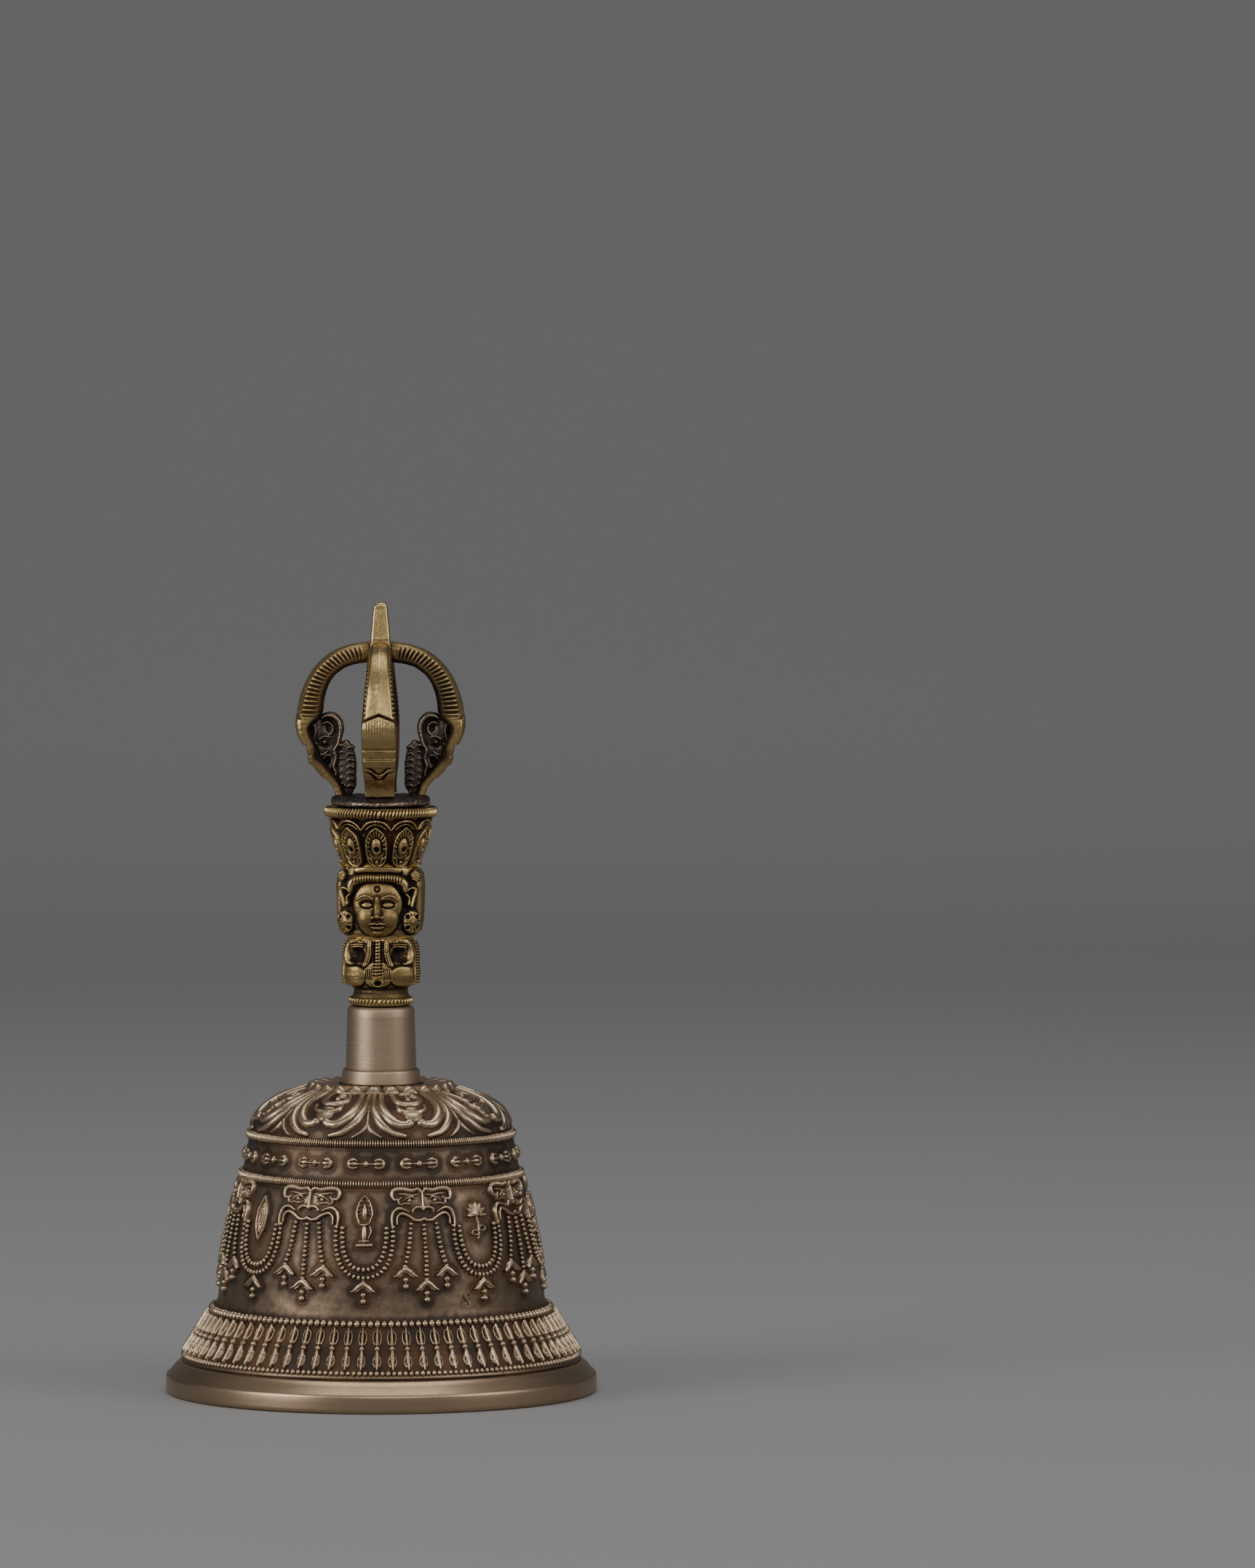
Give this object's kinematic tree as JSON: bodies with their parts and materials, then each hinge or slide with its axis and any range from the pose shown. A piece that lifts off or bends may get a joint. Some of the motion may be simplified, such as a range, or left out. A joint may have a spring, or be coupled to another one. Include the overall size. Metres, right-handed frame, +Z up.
{
  "type": "tibetan bell",
  "caption": "Hand bell with a flared relief-cast bronze body, a brass figure handle topped by a half vajra cage, and an iron clapper hung on a link inside.",
  "frame": {"origin": "centre of the mouth, in the plane of the rim that the bell stands on", "axes": "+Z up along the bell's axis, towards the half vajra; -Y towards the side where the face on the grip looks; +X to the right of that view"},
  "size_m": [0.0974, 0.0974, 0.1786],
  "materials": {
    "bell_bronze": "aged satin bronze, darker in the relief's recesses",
    "turned_bronze": "brushed round the axis",
    "cast_brass": "cast brass with brown-black patina in the recesses",
    "forged_iron": "dark forged iron"
  },
  "bodies": {
    "bell": {"bell_shell": "bell_bronze", "neck_ring": "turned_bronze", "neck_sleeve": "turned_bronze", "handle_grip": "cast_brass", "crown_rope_ring": "cast_brass", "vajra_base": "cast_brass", "centre_prong": "cast_brass", "prong_front": "cast_brass", "prong_right": "cast_brass", "prong_back": "cast_brass", "prong_left": "cast_brass", "eye_bolt": "forged_iron", "crown_washer": "forged_iron", "lock_nut": "forged_iron"},
    "link": {"clapper_link": "forged_iron"},
    "clapper": {"clapper_shank": "forged_iron", "clapper_ball": "forged_iron"}
  },
  "joints": [
    {"name": "link_swing", "type": "hinge", "parent": "bell", "child": "link", "pos_m": [0, 0, 0.0529], "axis": [1, 0, 0], "range_deg": [-12, 12]},
    {"name": "clapper_swing", "type": "hinge", "parent": "link", "child": "clapper", "pos_m": [0, 0, 0.0472], "axis": [0, 1, 0], "range_deg": [-45, 45]}
  ]
}
